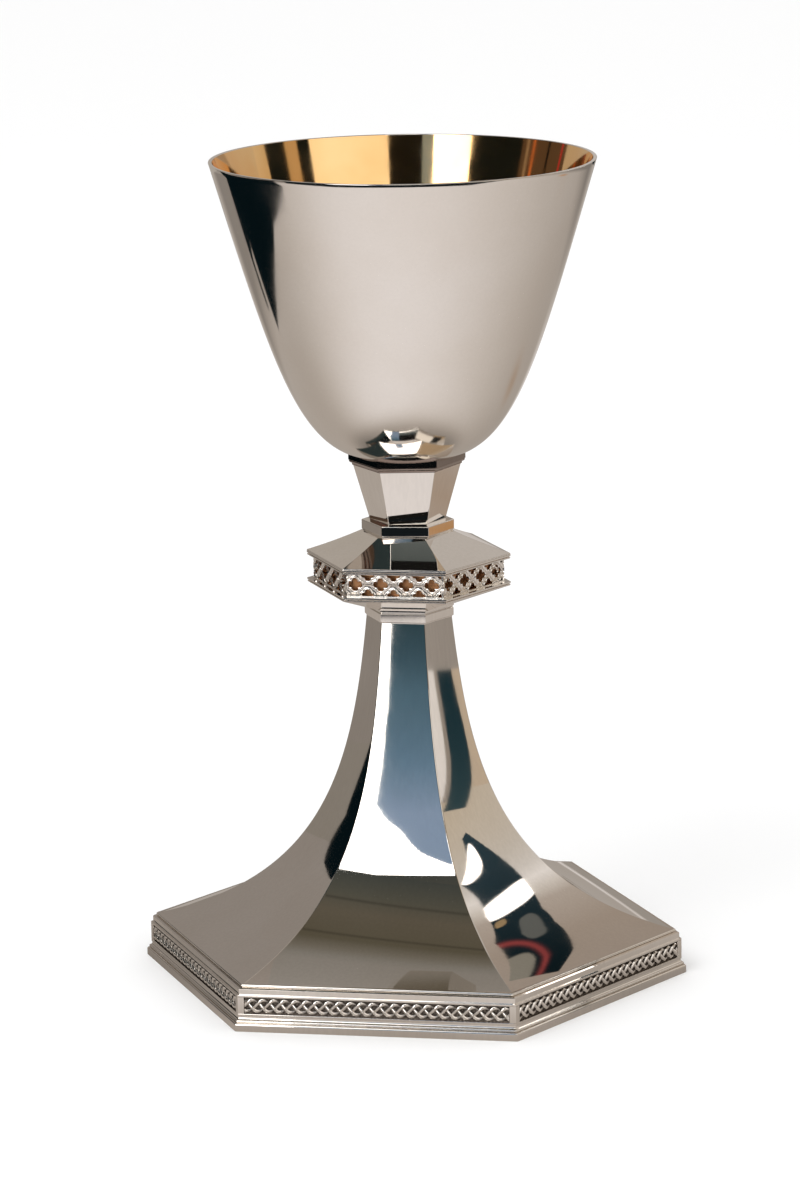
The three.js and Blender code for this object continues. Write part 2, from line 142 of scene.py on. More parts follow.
# ---- sections ----
def softened(corners, steps=5, hold=0.05):
    """A closed section whose corners (x, y, radius) are eased into small curves.

    Each curve is the parabola that leaves one side at the distance radius / tan(half
    the corner) and joins the other at the same distance. One more point a little
    further along each side holds the flat next to it flat. Radius 0 keeps a corner.
    """
    given = np.array([(*c, 0.0)[:3] for c in corners], float)
    p, radius = given[:, :2], given[:, 2:]
    back, ahead = np.roll(p, 1, 0) - p, np.roll(p, -1, 0) - p
    back_length = np.linalg.norm(back, axis=1, keepdims=True)
    ahead_length = np.linalg.norm(ahead, axis=1, keepdims=True)
    back, ahead = back / back_length, ahead / ahead_length
    half = 0.5 * np.arccos(np.clip(np.sum(back * ahead, 1, keepdims=True), -0.9999, 0.9999))
    shorter = np.minimum(back_length, ahead_length)
    reach = np.minimum(radius / np.tan(half), 0.42 * shorter)
    held = np.minimum(reach + hold, 0.47 * shorter)
    t = np.linspace(0, 1, steps)[None, :, None]
    start, end = (p + back * reach)[:, None], (p + ahead * reach)[:, None]
    curve = (1 - t) ** 2 * start + 2 * t * (1 - t) * p[:, None] + t**2 * end
    rows = np.concatenate([(p + back * held)[:, None], curve, (p + ahead * held)[:, None]], 1)
    keep = np.broadcast_to(radius > 0, rows.shape[:2]).copy()
    sharp = radius[:, 0] == 0
    keep[sharp, 0] = True
    rows[sharp, 0] = p[sharp]
    return rows[keep]


def cubic(p0, p1, p2, p3, steps, ease=1.0):
    """Points and unit normals, to the right of travel, of a cubic curve."""
    p = np.array([p0, p1, p2, p3], float)
    t = np.linspace(0, 1, steps)[:, None] ** ease
    curve = (1 - t) ** 3 * p[0] + 3 * t * (1 - t) ** 2 * p[1] + 3 * t**2 * (1 - t) * p[2] + t**3 * p[3]
    travel = (1 - t) ** 2 * (p[1] - p[0]) + 2 * t * (1 - t) * (p[2] - p[1]) + t**2 * (p[3] - p[2])
    normal = np.stack([travel[:, 1], -travel[:, 0]], 1)
    return curve, normal / np.linalg.norm(normal, axis=1, keepdims=True)


def arc(centre, radius, start, end, steps):
    """Points of an arc round a centre, angles in degrees."""
    turn = np.radians(np.linspace(start, end, steps))
    return np.stack([centre[0] + radius * np.cos(turn), centre[1] + radius * np.sin(turn)], 1)


# ---- the six-sided plan ----
def plan(twist=0.0, round_steps=3, across=(-1, -0.97, -0.5, 0, 0.5, 0.97, 1)):
    """For each column round the plan, the vectors reach and turn and the number swell.

    A column stands at (flat - arris) * reach + arris * turn. On a face reach is the
    face's normal plus a share of tan 30 sideways; round an arris it stays on the
    corner while turn swings through sixty degrees. Swell is 1 - share squared on a
    face and 0 round an arris, for faces that are beaten slightly full.
    """
    normals = np.radians(-90 + 60 * np.arange(SIDES)) + twist
    out = np.stack([np.cos(normals), np.sin(normals)], -1)[:, None]
    side = np.stack([-np.sin(normals), np.cos(normals)], -1)[:, None]
    share = np.array(across, float)[None, :, None]
    face_reach = out + share * TAN30 * side
    face_turn = np.broadcast_to(out, face_reach.shape)
    corner = normals[:, None] + math.radians(30)
    swing = normals[:, None] + math.radians(60) * np.arange(1, round_steps + 1) / (round_steps + 1)
    arris_reach = np.stack([np.cos(corner), np.sin(corner)], -1) / COS30
    arris_reach = np.broadcast_to(arris_reach, (SIDES, round_steps, 2))
    arris_turn = np.stack([np.cos(swing), np.sin(swing)], -1)
    reach = np.concatenate([face_reach, arris_reach], 1).reshape(-1, 2)
    turn = np.concatenate([face_turn, arris_turn], 1).reshape(-1, 2)
    on_face = 1 - np.tile(np.array(across, float) ** 2, (SIDES, 1))
    swell = np.concatenate([on_face, np.zeros((SIDES, round_steps))], 1).reshape(-1)
    return reach, turn, swell


def carried_round(section, twist=0.0, arris=0.18, fullness=0.0, **columns):
    """Points of a section (flat, height) carried round the hexagon, rows by columns.

    With fullness, in degrees, each face swells to a shallow curve that meets its
    arrises at that angle: half the face's width * tangent / 2 * swell.
    """
    reach, turn, swell = plan(twist, **columns)
    level = section[:, 1][:, None, None]
    place = (section[:, 0] - arris)[:, None, None] * reach + arris * turn
    rise = section[:, 0] * TAN30 * math.tan(math.radians(fullness)) / 2
    place = place + (rise[:, None] * swell)[..., None] * turn
    return np.concatenate([place, np.broadcast_to(level, (*place.shape[:2], 1))], 2)


def turned(section, columns):
    """Points of a section (radius, height) turned round the axis, rows by columns."""
    angle = np.linspace(0, 2 * np.pi, columns, endpoint=False)
    radius, level = section[:, :1], section[:, 1:]
    return np.stack([radius * np.cos(angle), radius * np.sin(angle), level + 0 * angle], -1)


# ---- finishes ----
def add(tree, kind, inputs=None, **settings):
    """A node with its settings, and its inputs joined to sockets or set to values."""
    made = tree.nodes.new(kind)
    for name, value in settings.items():
        setattr(made, name, value)
    for key, value in (inputs or {}).items():
        if isinstance(value, bpy.types.NodeSocket):
            tree.links.new(value, made.inputs[key])
        else:
            made.inputs[key].default_value = value
    return made


def noise(tree, place, scale, detail=2.0, stretch=None):
    """Noise of a given number of features per metre, drawn out along an axis if asked."""
    if stretch:
        place = add(tree, "ShaderNodeMapping", {"Vector": place, "Scale": stretch}).outputs[0]
    made = add(tree, "ShaderNodeTexNoise", {"Vector": place, "Scale": scale, "Detail": detail})
    return made.outputs["Fac"]


def spread(tree, value, low, high, start=0.3, end=0.7):
    """A value eased from the range start..end to low..high."""
    made = add(
        tree,
        "ShaderNodeMapRange",
        {"Value": value, "From Min": start, "From Max": end, "To Min": low, "To Max": high},
        interpolation_type="SMOOTHSTEP",
    )
    return made.outputs["Result"]


def blended(tree, factor, first, second):
    """A colour between two colours."""
    made = add(tree, "ShaderNodeMix", data_type="RGBA")
    for socket, value in zip((made.inputs[0], made.inputs[6], made.inputs[7]), (factor, first, second)):
        if isinstance(value, bpy.types.NodeSocket):
            tree.links.new(value, socket)
        else:
            socket.default_value = value
    return made.outputs[2]


def bumped(tree, *layers):
    """Bumps laid over each other, each a (height, distance in millimetres)."""
    normal = None
    for height, distance in layers:
        inputs = {"Height": height, "Distance": distance * MM, "Strength": 1.0}
        if normal is not None:
            inputs["Normal"] = normal
        normal = add(tree, "ShaderNodeBump", inputs).outputs[0]
    return normal


def cleared(data):
    """The empty node tree of a material or a world."""
    data.use_nodes = True
    data.node_tree.nodes.clear()
    return data.node_tree


def new_finish(name):
    material = bpy.data.materials.new(name)
    tree = cleared(material)
    place = add(tree, "ShaderNodeTexCoord").outputs["Object"]
    shader = add(tree, "ShaderNodeBsdfPrincipled", {"Metallic": 1.0})
    output = add(tree, "ShaderNodeOutputMaterial")
    tree.links.new(shader.outputs[0], output.inputs["Surface"])
    return material, tree, place, shader


def finished(material, shader, colour, rough, normal):
    for name, socket in (("Base Color", colour), ("Roughness", rough), ("Normal", normal)):
        material.node_tree.links.new(socket, shader.inputs[name])
    return material


def polished_silver(
    name, waviness=0.009, haze=(0.015, 0.04), lines=0.0005, drawn=0.04, grain=0.13, painted_shade=0.0
):
    """Hand-raised silver: faint waves from the hammer, polishing lines and thin haze.

    Painted shade is how far a dark brown, painted in to stand for shade, comes over the metal.
    """
    material, tree, place, shader = new_finish(name)
    clouds = noise(tree, place, 34.0, 4.0)
    bright, warm = (0.875, 0.835, 0.79, 1), (0.80, 0.745, 0.68, 1)
    fine = noise(tree, place, 1300.0, 3.0, stretch=(1.0, 1.0, drawn))
    colour = blended(tree, spread(tree, clouds, 0.0, 0.55), bright, warm)
    colour = blended(tree, spread(tree, fine, 0.0, grain), colour, (0.62, 0.59, 0.56, 1))
    # Painted shade: a dark brown mixed into the colour in clouds, standing in for the shade under the
    # bowl.
    colour = blended(tree, spread(tree, clouds, 0.8 * painted_shade, painted_shade), colour, (0.20, 0.135, 0.11, 1))
    rough = spread(tree, noise(tree, place, 70.0, 5.0), *haze)
    normal = bumped(tree, (noise(tree, place, 38.0, 1.0), waviness), (fine, lines))
    return finished(material, shader, colour, rough, normal)


def frieze_silver():
    """Bright strands over a ground darkened by oxide, by the depth kept on each point."""
    material, tree, place, shader = new_finish("Oxidised silver frieze")
    depth = add(tree, "ShaderNodeAttribute", attribute_name="depth").outputs["Fac"]
    grain = noise(tree, place, 2600.0, 5.0)
    hidden = spread(tree, depth, 0.0, 1.0, 0.12, 0.62)
    soot = blended(tree, spread(tree, grain, 0.0, 1.0), (0.05, 0.042, 0.036, 1), (0.19, 0.16, 0.14, 1))
    colour = blended(tree, hidden, (0.86, 0.82, 0.775, 1), soot)
    rough = spread(tree, hidden, 0.12, 0.55, 0.0, 1.0)
    normal = bumped(tree, (grain, 0.02))
    return finished(material, shader, colour, rough, normal)


def gilding():
    """Fire gilding, warm and clear, with turned polishing lines round the bowl."""
    material, tree, place, shader = new_finish("Gilding")
    clouds = noise(tree, place, 45.0, 3.0)
    colour = blended(tree, spread(tree, clouds, 0.0, 1.0), (1.0, 0.68, 0.34, 1), (0.96, 0.58, 0.25, 1))
    lines = noise(tree, place, 1500.0, 2.0, stretch=(0.03, 0.03, 1.0))
    rough = spread(tree, noise(tree, place, 120.0, 4.0), 0.05, 0.1)
    normal = bumped(tree, (noise(tree, place, 30.0, 1.0), 0.003), (lines, 0.00003))
    return finished(material, shader, colour, rough, normal)


def matt_gilt_lining():
    """Matt copper-gilt sheet behind the piercings."""
    material, tree, place, shader = new_finish("Matt gilt lining")
    clouds = noise(tree, place, 300.0, 5.0)
    colour = blended(tree, spread(tree, clouds, 0.0, 1.0), (0.60, 0.32, 0.16, 1), (0.38, 0.19, 0.09, 1))
    rough = spread(tree, noise(tree, place, 900.0, 4.0), 0.45, 0.7)
    normal = bumped(tree, (noise(tree, place, 1800.0, 4.0), 0.01))
    return finished(material, shader, colour, rough, normal)


def turned_metal(name, bright, dull, haze):
    """Metal from the lathe: fine rings round the axis and a mottled film."""
    material, tree, place, shader = new_finish(name)
    film = noise(tree, place, 260.0, 5.0)
    colour = blended(tree, spread(tree, film, 0.0, 1.0), bright, dull)
    rings = noise(tree, place, 5200.0, 2.0, stretch=(0.02, 0.02, 1.0))
    rough = spread(tree, noise(tree, place, 800.0, 4.0), *haze)
    normal = bumped(tree, (rings, 0.004))
    return finished(material, shader, colour, rough, normal)


SILVER = polished_silver("Polished silver")
BOWL_SILVER = polished_silver(
    "Bowl silver", waviness=0.003, haze=(0.05, 0.10), lines=0.0004, drawn=1.0, grain=0.05
)
# The seat plate and its ovolo under the bowl take this silver: its dark brown is painted shade.
SHADE_PAINTED_SILVER = polished_silver("Silver with painted shade", haze=(0.05, 0.12), painted_shade=0.85)
GALLERY_SILVER = polished_silver("Gallery silver", waviness=0.002, haze=(0.10, 0.18), lines=0.0001)
FRIEZE = frieze_silver()
GILT = gilding()
LINING = matt_gilt_lining()
BRASS = turned_metal("Turned brass", (0.82, 0.62, 0.30, 1), (0.55, 0.38, 0.17, 1), (0.25, 0.42))
STEEL = turned_metal("Rod steel", (0.58, 0.57, 0.55, 1), (0.33, 0.31, 0.29, 1), (0.28, 0.45))


def hexagonal(name, section, *nodes, finish=SILVER, twist=0.0, arris=0.12, fullness=0.0, **columns):
    """A closed section carried round the hexagon as one silver piece."""
    points = carried_round(section, twist, arris, fullness, **columns)
    return piece(name, points, woven(*points.shape[:2]), finish, "silver", *nodes)


# ---- bowl ----
RIM_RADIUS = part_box("cup")[1].x / MM
BOWL_Z, RIM_Z = heights("cup")
BOWL_FLOOR = 8.0
BOWL_WALL = 0.9
BOWL_COLUMNS = 252


def bowl_side(steps):
    """The outside of the bowl from its flat floor to the rim, with its normals."""
    belly, shoulder = (27.25, BOWL_Z), (33.11, 157.4)
    return cubic((BOWL_FLOOR, BOWL_Z), belly, shoulder, (RIM_RADIUS, RIM_Z), steps)


def bowl_skin(steps, depth, below_rim):
    """A line at a depth inside the bowl's outside, from the axis up to the rim."""
    side, normal = bowl_side(steps)
    line = side - normal * depth
    cut = (line[-1, 1] - (RIM_Z - below_rim)) / (line[-1, 1] - line[-2, 1])
    line[-1] = line[-1] + (line[-2] - line[-1]) * cut
    floor = np.stack([np.linspace(0, BOWL_FLOOR, 5)[:-1], np.full(4, line[0, 1])], 1)
    return np.concatenate([floor, line])


def make_bowl():
    """The silver wall turned in one with its eased lip, and the gilding laid inside it."""
    ease = 0.16
    outside = bowl_skin(110, 0.0, ease)
    inside = bowl_skin(60, BOWL_WALL, ease)[::-1]
    lip_out, lip_in = outside[-1], inside[0]
    lip = np.concatenate(
        [
            arc((lip_out[0] - ease, RIM_Z - ease), ease, 8, 90, 5),
            arc((lip_in[0] + ease, RIM_Z - ease), ease, 90, 172, 5),
        ]
    )
    points = turned(np.concatenate([outside, lip, inside]), BOWL_COLUMNS)
    faces = woven(*points.shape[:2], closed_rows=False)
    piece("cup_bowl", points, faces, BOWL_SILVER, "silver", "cup", poles=True)

    proud, sunk, below_rim = 0.03, 0.04, 0.12
    face = bowl_skin(90, BOWL_WALL + proud, below_rim)[::-1]
    back = bowl_skin(90, BOWL_WALL - sunk, below_rim)
    points = turned(np.concatenate([back, face]), BOWL_COLUMNS)
    faces = woven(*points.shape[:2], closed_rows=False)
    piece("cup_gilding", points, faces, GILT, "gilt", poles=True)


def make_seat():
    """The six-sided plate under the bowl, hollowed on top to the bowl's own curve.

    Each ring lies a share of the way from the round hole to the hexagonal edge; its
    top stands at the bowl's height for its distance from the axis.
    """
    edge, low = flat("cup_seat", STEM_TWIST), bottom("cup_seat")
    hole, arris, bevel, gap = 4.55, 0.12, 0.1, 0.02
    reach, turn, _ = plan(STEM_TWIST, across=np.linspace(-1, 1, 25))
    side, _ = bowl_side(200)
    corner = (edge - arris) * reach + arris * turn
    bearing = np.arctan2(corner[:, 1], corner[:, 0])
    round_hole = hole * np.stack([np.cos(bearing), np.sin(bearing)], 1)

    def ring(share, inset=0.0):
        outer = (edge - arris - inset) * reach + arris * turn
        return (1 - share) * round_hole + share * outer

    def on_bowl(place, drop):
        height = np.interp(np.linalg.norm(place, axis=1), side[:, 0], side[:, 1])
        return np.column_stack([place, height - drop])

    def level(place, height):
        return np.column_stack([place, np.full(len(place), height)])

    rows = [level(ring(0.0), low), level(ring(1.0, arris), low), level(ring(1.0), low + bevel)]
    rows += [on_bowl(ring(1.0), gap + arris), on_bowl(ring(1.0, bevel), gap)]
    rows += [on_bowl(ring(share), gap) for share in np.linspace(0.96, 0, 9)]
    points = np.stack(rows)
    # The plate's finish darkens it with painted shade under the bowl.
    piece("cup_seat_plate", points, woven(*points.shape[:2]), SHADE_PAINTED_SILVER, "silver", "cup_seat")


# ---- stem ----
def make_stem():
    """The ovolo below the seat and the tapered hexagonal stem."""
    (low, high), edge = heights("seat_moulding"), flat("seat_moulding", STEM_TWIST)
    inner, ovolo, ease = 10.9, 0.6, 0.04
    fillet = edge - ovolo
    section = np.concatenate(
        [
            softened([(inner, high), (inner, low, 0), (fillet, low, 0.06)])[:-1],
            [(fillet, low + 0.5)],
            arc((fillet, low + 1.15), ovolo, -86, 0, 9),
            [(edge, high - ease), (edge - ease, high)],
        ]
    )
    # The ovolo takes the silver darkened with painted shade under the bowl.
    look = {"finish": SHADE_PAINTED_SILVER, "twist": STEM_TWIST, "arris": 0.1}
    hexagonal("seat_ovolo", section, "seat_moulding", **look)

    (low, high), top_flat = heights("stem_shell"), flat("stem_shell", STEM_TWIST)
    bottom_flat, wall = 8.4, 0.9
    corners = [
        (bottom_flat - wall, low),
        (bottom_flat, low, 0.05),
        (top_flat, high, 0.05),
        (top_flat - wall, high),
    ]
    hexagonal("stem_taper", softened(corners), "stem_shell", twist=STEM_TWIST, arris=0.14)


# ---- knop ----
KNOP_FLAT = flat("knop_cornice")
GALLERY_FLAT = 21.35
GALLERY_WALL = 0.9
BORE = 3.35


def eave(name, node):
    """Two fillets with a groove between them, on the edge of the knop."""
    low, high = heights(node)
    middle = (low + high) / 2
    inner, lower, groove = GALLERY_FLAT - GALLERY_WALL, KNOP_FLAT - 0.08, KNOP_FLAT - 0.6
    corners = [
        (inner, low),
        (KNOP_FLAT - 0.25, low, 0.06),
        (lower, low + 0.14, 0.05),
        (lower, middle - 0.14, 0.04),
        (groove, middle - 0.08, 0.03),
        (groove, middle + 0.08, 0.03),
        (KNOP_FLAT, middle + 0.14, 0.05),
        (KNOP_FLAT, high, 0.06),
        (inner, high),
    ]
    hexagonal(name, softened(corners), node)


def make_knop():
    """Collar, hollow roof, the two eaves, the pan below and its neck."""
    (low, high), edge = heights("knop_collar"), flat("knop_collar", COLLAR_TWIST)
    foot, head, rod_hole = edge - 0.27, 8.75, 2.25
    corners = [
        (rod_hole, low),
        (foot, low, 0.04),
        (foot, low + 0.25, 0.04),
        (edge, low + 0.5, 0.08),
        (edge, high - 0.45, 0.1),
        (edge - 0.12, high - 0.3, 0.06),
        (head, high, 0.08),
        (rod_hole, high),
    ]
    hexagonal("collar", softened(corners), "knop_collar", twist=COLLAR_TWIST)

    low, high = heights("knop_roof")
    eave_flat, top_flat, sag, lip, sheet = KNOP_FLAT - 0.05, 10.45, 0.22, 0.35, 1
    t = np.linspace(0, 1, 22)[1:-1]
    level = low + lip + (high - low - lip) * t - 4 * sag * t * (1 - t)
    corners = [
        (20.6, low),
        (eave_flat, low, 0.05),
        (eave_flat, low + lip, 0.1),
        *np.stack([eave_flat + (top_flat - eave_flat) * t, level], 1),
        (top_flat, high, 0.08),
        (BORE, high),
        (BORE, high - sheet),
        (top_flat - 0.6, high - sheet),
    ]
    hexagonal("knop_roof_skin", softened(corners), "knop_roof")

    eave("knop_upper_eave", "knop_cornice")
    eave("knop_lower_eave", "knop_base_moulding")

    (low, high), neck = heights("knop_underside"), flat("knop_neck")
    corners = [
        (BORE, low),
        (neck + 0.15, low, 0.08),
        (KNOP_FLAT - 0.3, high, 0.08),
        (KNOP_FLAT - 2.6, high),
        (neck - 0.2, low + sheet),
        (BORE, low + sheet),
    ]
    hexagonal("knop_pan", softened(corners), "knop_underside")

    low, high = heights("knop_neck")
    foot = neck - 0.25
    corners = [
        (BORE, low),
        (foot, low, 0.04),
        (foot, low + 0.15, 0.03),
        (neck, low + 0.32, 0.05),
        (neck, high, 0.06),
        (BORE, high),
    ]
    hexagonal("neck_ring", softened(corners), "knop_neck")


# ---- slabs: height fields with a back, for the gallery and the frieze ----
def slab_faces(kept):
    """Faces of a slab two layers deep that has only the kept cells of a grid.

    Front and back share the grid's numbering, the back's numbers coming after the
    front's. A wall joins them wherever a kept cell meets a missing one or the edge.
    """
    rows, columns = kept.shape[0] + 1, kept.shape[1] + 1
    number = np.arange(rows * columns).reshape(rows, columns)
    behind = rows * columns
    cells = np.stack([number[:-1, :-1], number[:-1, 1:], number[1:, 1:], number[1:, :-1]], -1)
    front = cells[kept]
    framed = np.pad(kept, 1).astype(int)
    over = np.diff(framed, axis=0)[:, 1:-1]
    beside = np.diff(framed, axis=1)[1:-1]

    def walls(start, end):
        return np.stack([start, start + behind, end + behind, end], -1)

    parts = [front, front[:, ::-1] + behind]
    parts.append(walls(number[:, :-1][over == 1], number[:, 1:][over == 1]))
    parts.append(walls(number[:, 1:][over == -1], number[:, :-1][over == -1]))
    parts.append(walls(number[1:][beside == 1], number[:-1][beside == 1]))
    parts.append(walls(number[:-1][beside == -1], number[1:][beside == -1]))
    return np.concatenate(parts)


def tidied(points, faces):
    """Only the points that the faces use, and the faces renumbered to them."""
    used, renumbered = np.unique(faces, return_inverse=True)
    return points[used], renumbered.reshape(faces.shape)


def on_face(face, along, height, out):
    """Places on one side of the hexagon: along it from its middle, up, and outward."""
    angle = math.radians(-90 + 60 * face)
    normal, side = (math.cos(angle), math.sin(angle)), (-math.sin(angle), math.cos(angle))
    level = [normal[i] * out + side[i] * along for i in range(2)]
    return np.stack([*level, height + 0 * along], -1)


# ---- pierced gallery ----
GALLERY_LOW, GALLERY_HIGH = heights("gallery_panel_1")
PITCH = 6.5  # from one whole quatrefoil to the next
FIRST = 2.05  # from the panel's end to the middle of the first
ROW = 3.15  # height of their middles
RIM_CREST, RIM_WIDTH, RIM_END, SUNK = 0.24, 0.2, 0.25, 0.18
DASH_SUNK, DASH_HIGH = 0.3, 0.85


def lobes(x, y, width, height):
    """Centres and radius of the four lobes of a quatrefoil and of the eye between them."""
    radius = 0.235 * height
    side, up = width / 2 - radius, height / 2 - radius
    tips = [(x + side, y, radius), (x, y + up, radius), (x - side, y, radius), (x, y - up, radius)]
    return [*tips, (x, y, radius)]


def gallery_openings(width, height):
    """The lobes of a row of whole quatrefoils between two rows of halves."""
    found = []
    for i in range(-1, 5):
        whole = -width / 2 + FIRST + i * PITCH
        found += lobes(whole, ROW, 3.7, 3.3)
        found += lobes(whole + PITCH / 2, height - 0.2, 3.4, 3.2)
        found += lobes(whole + PITCH / 2, 0.25, 3.2, 3.2)
    return np.array(found)


def make_gallery():
    """Six pierced panels: openings with raised rims, and a sunk dash between them.

    The field is cut on a tenth of a millimetre grid. The distance to the nearest
    opening is that to the nearest lobe less its radius; cells inside are left out,
    the points round them are moved onto the outline, and the rim is a ridge whose
    height falls off with that distance.
    """
    width, height = 2 * GALLERY_FLAT * TAN30, GALLERY_HIGH - GALLERY_LOW
    x = np.linspace(-width / 2, width / 2, 257)
    y = np.linspace(0, height, 61)
    along, up = np.meshgrid(x, y)
    lobe = gallery_openings(width, height)

    def nearest(px, py):
        away = np.hypot(px[..., None] - lobe[:, 0], py[..., None] - lobe[:, 1])
        which = np.argmin(away - lobe[:, 2], -1)
        return np.take_along_axis(away - lobe[:, 2], which[..., None], -1)[..., 0], which

    middle_x, middle_y = np.meshgrid((x[1:] + x[:-1]) / 2, (y[1:] + y[:-1]) / 2)
    rail, end = 0.25, 0.55
    field = (abs(middle_x) < width / 2 - end) & (abs(middle_y - height / 2) < height / 2 - rail)
    kept = ~((nearest(middle_x, middle_y)[0] < 0) & field)

    around = np.pad(kept, 1, constant_values=True).astype(int)
    met = around[:-1, :-1] + around[1:, :-1] + around[:-1, 1:] + around[1:, 1:]
    edge = (met > 0) & (met < 4)
    distance, which = nearest(along, up)
    own = lobe[which]
    away = np.stack([along - own[..., 0], up - own[..., 1]], -1)
    away /= np.maximum(np.linalg.norm(away, axis=-1, keepdims=True), 1e-6)
    shift = np.where(edge & (abs(distance) < 0.09), -distance, 0.0)
    along_cut, up_cut = along + away[..., 0] * shift, up + away[..., 1] * shift
    distance = np.maximum(distance + shift, 0)

    ridge = hump(distance, RIM_CREST, RIM_WIDTH)
    count = (along + width / 2 - FIRST) / PITCH
    dash_x = np.abs(count % 1 - 0.5) * PITCH
    dash = ramp(dash_x, 0.85, -0.15) * ramp(abs(up - ROW), 0.24, -0.1)
    low_x = np.abs((count + 0.5) % 1 - 0.5) * PITCH
    low_dash = ramp(low_x, 1.05, -0.15) * ramp(abs(up - DASH_HIGH), 0.22, -0.1)
    frame_edge = ramp(np.minimum(up, height - up), 0.3, -0.1)
    relief = -SUNK + SUNK * np.maximum(ridge, frame_edge)
    relief = relief - DASH_SUNK * np.maximum(dash, low_dash) * (distance > RIM_END)

    mitre = 1.1
    pull = ramp(np.abs(along), width / 2 - mitre, mitre)
    back_along = along_cut - np.sign(along) * pull * GALLERY_WALL * TAN30
    faces = slab_faces(kept)
    for face in range(SIDES):
        front = on_face(face, along_cut, GALLERY_LOW + up_cut, GALLERY_FLAT + relief)
        back = on_face(face, back_along, GALLERY_LOW + up_cut, GALLERY_FLAT - GALLERY_WALL + 0 * up)
        points = np.concatenate([front.reshape(-1, 3), back.reshape(-1, 3)])
        points, numbered = tidied(points, faces)
        name = f"gallery_pierced_{face + 1}"
        piece(name, points, numbered, GALLERY_SILVER, "silver", f"gallery_panel_{face + 1}")


# ---- foot ----
def make_foot():
    """Collar and the one hollow six-sided skin of the foot, raised and mitred."""
    (low, high), edge = heights("foot_collar"), flat("foot_collar")
    step = edge - 0.35
    corners = [
        (BORE, low),
        (step, low, 0.04),
        (step, low + 0.2, 0.04),
        (edge, low + 0.47, 0.07),
        (edge, high - 0.3, 0.08),
        (edge - 0.25, high, 0.05),
        (BORE, high),
    ]
    hexagonal("foot_collar_ring", softened(corners), "foot_collar")

    low, high = heights("foot_face_1")
    rim_flat, rim_z, top_flat, wall, gap = 58.0, 11.6, 9.6, 1.1, 0.1
    spread_pull, rise_pull = (20.1, 22.7), (13.35, 52)
    outside, normal = cubic((rim_flat, rim_z), spread_pull, rise_pull, (top_flat, high), 150)
    inside = (outside - normal * wall)[::-2]
    between = (inside[:, 1] > low + gap) & (inside[:, 1] < high - gap)
    inside = inside[between & (inside[:, 0] < rim_flat - 1)]
    seam, head = [(rim_flat - 1.2, low), (rim_flat, low)], [(top_flat - wall, high)]
    hexagonal(
        "foot_skin",
        np.concatenate([seam, outside, head, inside]),
        *[f"foot_face_{i + 1}" for i in range(SIDES)],
        arris=0.3,
        fullness=1.0,
        round_steps=5,
        across=(-1, -0.985, *np.linspace(-0.95, 0.95, 21), 0.985, 1),
    )


# ---- base ----
FRIEZE_LOW, FRIEZE_HIGH = heights("frieze_panel_1")
FRAME_FLAT = 60.35
FRIEZE_BACK = 59.4
STILE = 1.6


def bead(name, node, back, steps, arris):
    """A half-round bead, its middle set back from its edge, on a flat strip."""
    low, high = heights(node)
    inner, middle = 58, (flat(node) - back, (low + high) / 2)
    curve = arc(middle, (high - low) / 2, -90, 90, steps)
    hexagonal(name, np.concatenate([[(inner, low)], curve, [(inner, high)]]), node, arris=arris)


def make_base():
    """Cornice bead, moulded band, lower bead and the flange that stands on the table."""
    bead("cornice_bead", "base_cornice", 0.4, 13, 0.25)

    low, high = heights("base_wall")
    inner, hollow, ledge, cove = 57, 0.55, low + 0.9, 59.85
    corners = [
        (inner, low),
        (60.6, low, 0.06),
        *arc((60.75, low + hollow), hollow, 250, 190, 6),
        (60.2, ledge, 0.05),
        (FRAME_FLAT, ledge, 0.05),
        (FRAME_FLAT, FRIEZE_LOW, 0.1),
        (FRIEZE_BACK, FRIEZE_LOW, 0.08),
        (FRIEZE_BACK, FRIEZE_HIGH, 0.08),
        (FRAME_FLAT, FRIEZE_HIGH, 0.1),
        (FRAME_FLAT, FRIEZE_HIGH + 0.5, 0.1),
        (cove, FRIEZE_HIGH + 0.62, 0.1),
        (cove, high - 0.25, 0.05),
        (59.5, high, 0.05),
        (inner, high),
    ]
    hexagonal("moulded_band", softened(corners), "base_wall", arris=0.2)

    bead("lower_bead", "base_lower_bead", 0.35, 11, 0.2)

    inner, edge, high = 56.5, flat("base_flange"), top("base_flange")
    corners = [(inner, 0, 0.1), (edge, 0, 0.12), (edge, high, 0.55), (inner, high, 0.1)]
    hexagonal("base_flange_ring", softened(corners, steps=8), "base_flange", arris=0.3)


def make_stiles():
    """An upright over each arris of the band, between two friezes."""
    depth, corner = FRAME_FLAT - FRIEZE_BACK, FRAME_FLAT / COS30
    outer, wide = corner - STILE * 0.5, STILE * COS30
    inner, narrow = outer - depth * COS30, wide - depth * 0.5
    corners = [
        (outer, -wide, 0.12),
        (corner, 0, 0.2),
        (outer, wide, 0.12),
        (inner, narrow),
        (corner - depth / COS30, 0),
        (inner, -narrow),
    ]
    outline = softened(corners)
    count = len(outline)
    levels = (FRIEZE_LOW, FRIEZE_HIGH)
    for face in range(SIDES):
        angle = math.radians(-60 + 60 * face)
        turn = np.array([[math.cos(angle), math.sin(angle)], [-math.sin(angle), math.cos(angle)]])
        level = outline @ turn
        points = np.concatenate([np.column_stack([level, np.full(count, z)]) for z in levels])
        caps = [range(count)[::-1], range(count, 2 * count)]
        faces = woven(2, count, closed_rows=False)
        name = f"stile_{face + 1}"
        piece(name, points, faces, SILVER, "silver", f"corner_stile_{face + 1}", more_faces=caps)


# ---- plaited frieze ----
STRAND_PERIOD = 8.3
STRAND_SWING = 1.42
STRAND_HALF = 0.43
CROWN, LIFT = 0.30, 0.20  # a strand's own height, and half of what it rises to pass over
PLAIT_HIGH = 0.55


